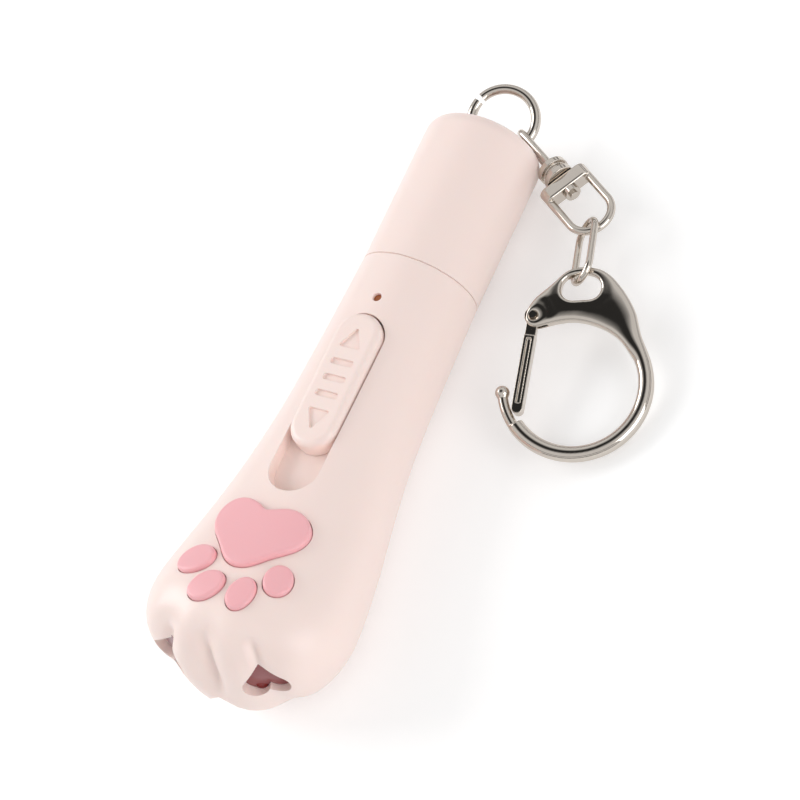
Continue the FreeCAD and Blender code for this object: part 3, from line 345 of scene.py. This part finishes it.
def evaluated(mesh, name, dress):
    """The mesh as the modifiers that dress adds leave it."""
    work = put(name, mesh)
    dress(work)
    bpy.context.view_layer.update()
    result = bpy.data.meshes.new_from_object(work.evaluated_get(bpy.context.evaluated_depsgraph_get()))
    bpy.data.objects.remove(work)
    return result


def claw_place(spot):
    """A point in the claw's own directions, in millimetres: right, up, and out of its face."""
    step = (spot - CLAW_AT) / MM
    return Vector((step.dot(CLAW_RIGHT), step.dot(CLAW_UP), step.dot(CLAW_RIGHT.cross(CLAW_UP))))


def shoulder_share(x, y):
    """One on the claw's cast shoulder, none at its eye and on the round hook."""
    return ramp(y, *SHOULDER_FOOT) * ramp(math.hypot(x / EYE_BROAD, y), *EYE_EDGE)


def along_hook(turn, stretch):
    """One on this stretch of the round hook and none beyond it, with soft ends."""
    start, end = stretch
    return ramp(turn, *start) * (1 - ramp(turn, *end))


def claw_flow(spot):
    """How freely the claw's shoulder flows at a point: most where it runs out into the hook."""
    x, y, _ = claw_place(spot)
    turn = math.degrees(math.atan2(y - CLAW_ROUND[1], x - CLAW_ROUND[0]))
    neck = along_hook(turn, NECK) if x > 0 else 0.0
    return max(SHOULDER_FLOW * shoulder_share(x, y), neck)


def crown_claw(mesh):
    """Crowns the claw's flat shoulder and draws its tail into the round hook."""
    face_way = CLAW_RIGHT.cross(CLAW_UP)
    sides = [v.co.copy() for v in mesh.vertices if abs(v.normal.dot(face_way)) < 0.5]
    tree = kdtree.KDTree(len(sides))
    for k, spot in enumerate(sides):
        tree.insert(spot, k)
    tree.balance()
    for v in mesh.vertices:
        x, y, rise = claw_place(v.co)
        share = shoulder_share(x, y)
        if share > 0:
            rim = max(0.0, 1 - tree.find(v.co)[2] / MM / CROWN_REACH)
            rise *= 1 - CROWN * share * rim ** 2
        out_x = x - CLAW_ROUND[0]
        out_y = y - CLAW_ROUND[1]
        drawn_in = along_hook(math.degrees(math.atan2(out_y, out_x)), DRAWN_IN)
        across = math.hypot(out_x, out_y) - CLAW_ROUND_R
        reach = math.hypot(across, rise)
        if drawn_in > 0 and x > 0 and reach > 0:
            scale = 1 + drawn_in * (CLAW_WIRE_R / reach - 1)
            grown = (CLAW_ROUND_R + across * scale) / (CLAW_ROUND_R + across)
            x = CLAW_ROUND[0] + out_x * grown
            y = CLAW_ROUND[1] + out_y * grown
            rise *= scale
        v.co = CLAW_AT + (CLAW_RIGHT * x + CLAW_UP * y + face_way * rise) * MM


def cast_form(node, body, voxel, rounds, material, flow=None):
    """A CAD node as cast, tumbled and plated metal: one skin with every edge and joint softened."""
    mesh = nodes[node].data.copy()
    mesh.transform(nodes[node].matrix_world)
    weld(mesh)

    def dress(piece):
        skin = piece.modifiers.new("Skin", "REMESH")
        skin.mode = "VOXEL"
        skin.voxel_size = voxel * MM
        soften = piece.modifiers.new("Tumbled", "SMOOTH")
        soften.factor = TUMBLE_FACTOR
        soften.iterations = rounds

    form = evaluated(mesh, node + "_form", dress)
    if flow:
        crown_claw(form)

        def dress_again(piece):
            group = piece.vertex_groups.new(name="Flow")
            for v in piece.data.vertices:
                group.add([v.index], flow(v.co), "REPLACE")
            melt = piece.modifiers.new("Flow", "SMOOTH")
            melt.vertex_group = "Flow"
            melt.factor = FLOW_FACTOR
            melt.iterations = FLOW_ROUNDS

        form = evaluated(form, node + "_flow", dress_again)
    finished(form, node + "_cast", body, node, material)


def crease_runs(spot, away):
    """For each straight run of a toe crease: the nearest place on it as a share of its line's length,
    the gap from there to the spot across the outward way, and how far the spot is out from it."""
    for line in CREASES:
        runs = len(line) - 1
        for k in range(runs):
            a = Vector(line[k]) * MM
            b = Vector(line[k + 1]) * MM
            share = max(0.0, min(1.0, (spot - a).dot(b - a) / (b - a).length_squared))
            gap = spot - a.lerp(b, share)
            rise = gap.dot(away)
            yield (k + share) / runs, gap - away * rise, rise


def groove(spot, away):
    """How deep the nearest toe crease is pressed at a point of the skin, whose outward way is given."""
    deepest = 0.0
    for share, gap, _ in crease_runs(spot, away):
        fade = ramp(share, 0, CREASE_DEEPENS) * (1 - CREASE_EASE * ramp(share, CREASE_EASES, 1))
        deepest = max(deepest, CREASE_DEPTH * fade * math.exp(-gap.length_squared / CREASE_HALF_W ** 2))
    return deepest


def make_paw_skin(material):
    """The housing with the creases between its toes pressed in as deep as the moulding has them."""
    node = nodes["paw_shell"]
    mesh = node.data.copy()
    ways = [0.0] * (3 * len(mesh.loops))
    mesh.corner_normals.foreach_get("vector", ways)
    mesh.attributes.new("kept_normal", "FLOAT_VECTOR", "CORNER").data.foreach_set("vector", ways)
    work = bmesh.new()
    work.from_mesh(mesh)
    kept = work.loops.layers.float_vector["kept_normal"]
    bmesh.ops.remove_doubles(work, verts=work.verts, dist=WELD)
    bmesh.ops.bisect_plane(work, geom=work.verts[:] + work.edges[:] + work.faces[:],
                           plane_co=(0, SEAM_Y - SEAM_BEVEL, 0), plane_no=(0, 1, 0))
    for v in work.verts:
        rise = v.co.z - HANDLE_Z
        if v.co.y > SEAM_Y - 0.01 * MM and math.hypot(v.co.x, rise) > SEAM_RIM * HANDLE_R:
            v.co.x *= 1 - SEAM_BEVEL / HANDLE_R
            v.co.z = HANDLE_Z + rise * (1 - SEAM_BEVEL / HANDLE_R)

    def beside(v):
        away = (v.co - PAW_HEART).normalized()
        return any(abs(rise) < CREASE_FINE_H and gap.length < CREASE_FINE_W
                   for _, gap, rise in crease_runs(v.co, away))

    for finest in CREASE_FINEST:
        marked = {v for v in work.verts if v.co.y < FINE_FROM_Y and beside(v)}
        edges = [e for e in work.edges if all(v in marked for v in e.verts) and e.calc_length() > finest]
        bmesh.ops.subdivide_edges(work, edges=edges, cuts=1)
        bmesh.ops.triangulate(work, faces=[f for f in work.faces if len(f.verts) > 3])
    work.normal_update()

    def outside(face):
        return face.normal.dot((face.calc_center_median() - PAW_HEART).normalized()) > SKIN_FACING

    skin = [f for f in work.faces if max(v.co.y for v in f.verts) < PAW_FROM_Y and outside(f)]
    pressed = {}
    for v in {v for face in skin for v in face.verts}:
        away = (v.co - PAW_HEART).normalized()
        pressed[v] = away * groove(v.co, away)
    for v, step in pressed.items():
        v.co -= step
    work.normal_update()
    for face in work.faces:
        if min(v.co.y for v in face.verts) > SEAM_Y - 1.5 * SEAM_BEVEL:
            for loop in face.loops:
                loop[kept] = face.normal
    turned = {v: Vector() for v in pressed}
    for face in skin:
        for v in face.verts:
            turned[v] += face.normal * face.calc_area()
    for face in skin:
        for loop in face.loops:
            share = ramp(pressed[loop.vert].length, 0, CREASE_SHADED)
            loop[kept] = Vector(loop[kept]).lerp(turned[loop.vert].normalized(), share)
    work.to_mesh(mesh)
    work.free()
    finished(mesh, "paw_skin", "housing", "paw_shell", material)
    flat = [0.0] * (3 * len(mesh.loops))
    mesh.attributes["kept_normal"].data.foreach_get("vector", flat)
    mesh.normals_split_custom_set([Vector(flat[k:k + 3]).normalized() for k in range(0, len(flat), 3)])
    mesh.attributes.remove(mesh.attributes["kept_normal"])


def circle(radius):
    """Points round a circle about the origin."""
    turns = [math.tau * k / CIRCLE_STEPS for k in range(CIRCLE_STEPS)]
    return [Vector((radius * math.cos(a), radius * math.sin(a), 0)) for a in turns]


def heart(width, height):
    """Points round a heart about the origin: two round lobes below, its point up."""
    lobe = HEART_LOBE * width
    x = width / 2 - lobe
    y = lobe - height / 2
    tip = height / 2
    reach = math.hypot(x, tip - y)
    turn = math.atan2(x, tip - y) + math.asin(lobe / reach)
    straight = math.sqrt(reach ** 2 - lobe ** 2)
    touch = math.atan2(tip - math.cos(turn) * straight - y, math.sin(turn) * straight - x)
    cusp = -math.pi + math.acos(x / lobe)
    side = [Vector((x + lobe * math.cos(a), y + lobe * math.sin(a), 0))
            for a in (cusp + (touch - cusp) * k / LOBE_STEPS for k in range(LOBE_STEPS + 1))]
    return [Vector((0, tip, 0))] + [Vector((-p.x, p.y, 0)) for p in reversed(side)] + side[1:]


def domed_plate(name, centre, way, outline, depth, crown, material):
    """A closed plate with this outline, facing way, with its front face crowned."""
    turn = way.to_track_quat("Z", "Y").to_matrix()
    work = bmesh.new()

    def row(share, z):
        return [work.verts.new(centre + turn @ Vector((p.x * share, p.y * share, z))) for p in outline]

    rows = [row(1, -depth)]
    for share in (1 - k / DOME_RINGS for k in range(DOME_RINGS)):
        rows.append(row(share, crown * (1 - share ** 2)))
    count = len(outline)
    for low, high in zip(rows, rows[1:]):
        for k in range(count):
            work.faces.new((low[k], low[(k + 1) % count], high[(k + 1) % count], high[k]))
    front = work.verts.new(centre + turn @ Vector((0, 0, crown)))
    back = work.verts.new(centre + turn @ Vector((0, 0, -depth)))
    for k in range(count):
        work.faces.new((rows[-1][k], rows[-1][(k + 1) % count], front))
        work.faces.new((rows[0][(k + 1) % count], rows[0][k], back))
    bmesh.ops.recalc_face_normals(work, faces=work.faces)
    mesh = bpy.data.meshes.new(name)
    work.to_mesh(mesh)
    work.free()
    finished(mesh, name, "housing", None, material)


def make_shade_plates(materials):
    """A plate coloured with painted shade in each heart-shaped opening, and the laser's own red one in the last of
    them.
    """
    outline = heart(HEART_W + 2 * SHADE_PLATE_LAP, HEART_H + 2 * SHADE_PLATE_LAP)
    for name, place, looks, slot, finish in OPENINGS:
        way = Vector(looks).normalized()
        centre = Vector(place) * MM - way * SHADE_PLATE_DEPTH
        domed_plate(name + "_window", centre, way, outline, SHADE_PLATE_T, SHADE_PLATE_CROWN, materials[finish])
    domed_plate("laser_eye", LASER_EYE, way, circle(LASER_EYE_R), LASER_EYE_T, LASER_EYE_CROWN,
                materials["red_glass"])


def wire_tree():
    """Geometry nodes that draw a round wire along a line of points."""
    tree = bpy.data.node_groups.new("Round wire", "GeometryNodeTree")
    taken = (("Geometry", "Geometry"), ("Wire radius", "Float"), ("Sides", "Int"), ("Finish", "Material"))
    for name, kind in taken:
        tree.interface.new_socket(name, in_out="INPUT", socket_type="NodeSocket" + kind)
    tree.interface.new_socket("Geometry", in_out="OUTPUT", socket_type="NodeSocketGeometry")
    given = add(tree, "NodeGroupInput")
    line = add(tree, "GeometryNodeMeshToCurve", links={"Mesh": given.outputs["Geometry"]})
    section = add(tree, "GeometryNodeCurvePrimitiveCircle", links={
        "Resolution": given.outputs["Sides"], "Radius": given.outputs["Wire radius"]})
    wire = add(tree, "GeometryNodeCurveToMesh", {"Fill Caps": True}, {
        "Curve": line.outputs["Curve"], "Profile Curve": section.outputs["Curve"]})
    real = add(tree, "GeometryNodeRealizeInstances", links={"Geometry": wire.outputs["Mesh"]})
    finish = add(tree, "GeometryNodeSetMaterial", links={
        "Geometry": real.outputs["Geometry"], "Material": given.outputs["Finish"]})
    out = add(tree, "NodeGroupOutput")
    tree.links.new(finish.outputs["Geometry"], out.inputs["Geometry"])
    return tree


def round_wire(tree, name, body, points, closed, radius, material):
    """One drawn wire along points, instead of the CAD node of this name."""
    mesh = bpy.data.meshes.new(name + "_line")
    edges = [(k, k + 1) for k in range(len(points) - 1)]
    if closed:
        edges.append((len(points) - 1, 0))
    mesh.from_pydata([tuple(p) for p in points], edges, [])

    def dress(piece):
        modifier = piece.modifiers.new("Wire", "NODES")
        modifier.node_group = tree
        values = {"Wire radius": radius, "Sides": WIRE_SIDES, "Finish": material}
        for socket in tree.interface.items_tree:
            if socket.name in values:
                modifier[socket.identifier] = values[socket.name]

    made = evaluated(mesh, name + "_line", dress)
    weld(made, face_out=True)
    finished(made, name + "_wire", body, name, material)


def arc(centre, across, up, radius, start, end):
    """Points round an arc, from start to end in degrees."""
    count = max(2, round(abs(end - start) / WIRE_STEP))
    turns = [math.radians(start + (end - start) * k / count) for k in range(count + 1)]
    return [centre + across * (radius * math.cos(a)) + up * (radius * math.sin(a)) for a in turns]


def make_key_ring(tree, material):
    """Jump ring through the cap's lug, with its ends a little apart."""
    hinge = joints["ring_swing"]
    side = Vector(hinge["axis"]).normalized()
    out = RING_NORMAL.cross(side).normalized()
    centre = Vector(hinge["pos_m"]) + out * RING_R
    start = RING_GAP_AT + RING_GAP / 2
    points = arc(centre, side, out, RING_R, start, start + 360 - RING_GAP)
    round_wire(tree, "key_ring", "ring", points, False, RING_WIRE_R, material)


def make_connecting_link(tree, material):
    """Closed oval link from the bail's bow to the claw's eye."""
    first = Vector(joints["link_swing"]["pos_m"])
    last = Vector(joints["clip_swing"]["pos_m"])
    aim = (last - first).normalized()
    level = aim.cross(Vector((0, 0, 1))).normalized()
    upright = level.cross(aim)
    lean = math.radians(LINK_LEAN)
    across = upright * math.cos(lean) - level * math.sin(lean)
    near = first - aim * (LINK_BAIL_REACH - LINK_HALF_W)
    far = last + aim * (LINK_EYE_REACH - LINK_HALF_W)
    points = arc(near, aim, across, LINK_HALF_W, 90, 270) + arc(far, aim, across, LINK_HALF_W, -90, 90)
    round_wire(tree, "connecting_link", "link", points, True, LINK_WIRE_R, material)


def light(name, place, power):
    """A soft square lamp at place, in metres, facing the object."""
    data = bpy.data.lights.new(name, "AREA")
    data.size = LAMP_SIZE
    data.energy = power
    lamp = put(name, data)
    lamp.location = place
    lamp.rotation_euler = (AIM - Vector(place)).to_track_quat("-Z", "Y").to_euler()


def make_floor():
    """White table. Seen directly, in a mirror or through a lens it is lifted towards white, more so
    further out, so that only the shadow shows."""
    mesh = bpy.data.meshes.new("Table")
    r = TABLE_HALF
    mesh.from_pydata([(-r, -r, 0), (r, -r, 0), (r, r, 0), (-r, r, 0)], [], [(0, 1, 2, 3)])
    floor = put("Table", mesh)
    floor.location = (0, 0, cad_box[0][2] - TABLE_DROP)
    material = bpy.data.materials.new("White laminate")
    material.use_nodes = True
    tree = material.node_tree
    tree.nodes.clear()
    out = add(tree, "ShaderNodeOutputMaterial")
    diffuse = add(tree, "ShaderNodeBsdfDiffuse", {"Color": linear("#F4F4F4")})
    ray = add(tree, "ShaderNodeLightPath")
    seen = add(tree, "ShaderNodeMath", {"operation": "MAXIMUM"},
               {0: ray.outputs["Is Camera Ray"], 1: ray.outputs["Is Glossy Ray"]})
    seen = add(tree, "ShaderNodeMath", {"operation": "MAXIMUM"},
               {0: seen.outputs[0], 1: ray.outputs["Is Transmission Ray"]})
    place = add(tree, "ShaderNodeTexCoord")
    apart = add(tree, "ShaderNodeVectorMath", {"operation": "LENGTH"}, {0: place.outputs["Object"]})
    rise = add(tree, "ShaderNodeMapRange", {
        "From Min": FLOOR_FADE[0], "From Max": FLOOR_FADE[1], "To Min": FLOOR_LIFT, "To Max": FLOOR_LIFT_FAR,
    }, {"Value": apart.outputs["Value"]})
    lift = add(tree, "ShaderNodeMath", {"operation": "MULTIPLY"}, {0: seen.outputs[0], 1: rise.outputs[0]})
    glow = add(tree, "ShaderNodeEmission", {"Color": (1, 1, 1, 1)}, {"Strength": lift.outputs[0]})
    both = add(tree, "ShaderNodeAddShader", links={0: diffuse.outputs[0], 1: glow.outputs[0]})
    tree.links.new(both.outputs[0], out.inputs["Surface"])
    mesh.materials.append(material)


def make_world():
    """A studio for bright metal: bands of light and dark, and a dark card where the claw's face mirrors
    it. Seen directly it is plain white."""
    world = bpy.data.worlds.new("Studio")
    bpy.context.scene.world = world
    world.use_nodes = True
    tree = world.node_tree
    tree.nodes.clear()
    way = add(tree, "ShaderNodeTexCoord")
    height = add(tree, "ShaderNodeSeparateXYZ", links={"Vector": way.outputs["Generated"]})
    bands = add(tree, "ShaderNodeValToRGB", links={"Fac": height.outputs["Z"]})
    while len(bands.color_ramp.elements) < len(ROOM_BANDS):
        bands.color_ramp.elements.new(1.0)
    for stop, (place, level) in zip(bands.color_ramp.elements, ROOM_BANDS):
        stop.position = place
        stop.color = (level, level, level, 1)
    facing = add(tree, "ShaderNodeVectorMath", {"operation": "DOT_PRODUCT", 1: MIRRORED},
                 {0: way.outputs["Generated"]})
    card = add(tree, "ShaderNodeMapRange", {
        "From Min": CARD_EDGE[0], "From Max": CARD_EDGE[1], "To Min": 1.0, "To Max": CARD_LEVEL,
    }, {"Value": facing.outputs["Value"]})
    shaded = add(tree, "ShaderNodeMath", {"operation": "MULTIPLY"},
                 {0: bands.outputs["Color"], 1: card.outputs[0]})
    room = add(tree, "ShaderNodeMath", {"operation": "MULTIPLY", 1: ROOM_LIGHT}, {0: shaded.outputs[0]})
    ray = add(tree, "ShaderNodeLightPath")
    strength = add(tree, "ShaderNodeMix", {"data_type": "FLOAT", "B": 1.0}, {
        "Factor": ray.outputs["Is Camera Ray"], "A": room.outputs[0]})
    back = add(tree, "ShaderNodeBackground", {"Color": (1, 1, 1, 1)},
               {"Strength": strength.outputs["Result"]})
    out = add(tree, "ShaderNodeOutputWorld")
    tree.links.new(back.outputs[0], out.inputs["Surface"])


def make_camera():
    """The photograph's viewpoint."""
    data = bpy.data.cameras.new("Camera")
    data.lens = LENS_MM
    data.sensor_width = 36.0
    data.clip_start = 0.01
    camera = put("Camera", data)
    right = IMAGE_RIGHT.normalized()
    back = (TO_CAMERA - right * TO_CAMERA.dot(right)).normalized()
    up = back.cross(right)
    turn = Matrix((right, up, back)).transposed().to_4x4()
    camera.matrix_world = Matrix.Translation(AIM + back * CAMERA_DISTANCE) @ turn
    bpy.context.scene.camera = camera


materials = make_materials()
dress_nodes(materials)
nickel = materials["nickel"]
make_paw_skin(materials["pink_plastic"])
make_shade_plates(materials)
drawn = wire_tree()
make_key_ring(drawn, nickel)
make_connecting_link(drawn, nickel)
cast_form("clip_hook", "clip", 0.11, 9, nickel, claw_flow)
cast_form("clip_gate", "gate", 0.08, 4, nickel)
cast_form("swivel_eye", "eye", 0.08, 3, nickel)
cast_form("swivel_bail", "bail", 0.08, 4, nickel)
make_world()
make_floor()
light("Left softbox", (-0.64, -0.03, 0.40), KEY_POWER)
light("Right softbox", (0.66, -0.1, 0.27), FILL_POWER)
make_camera()
bpy.context.scene.view_settings.view_transform = "Standard"
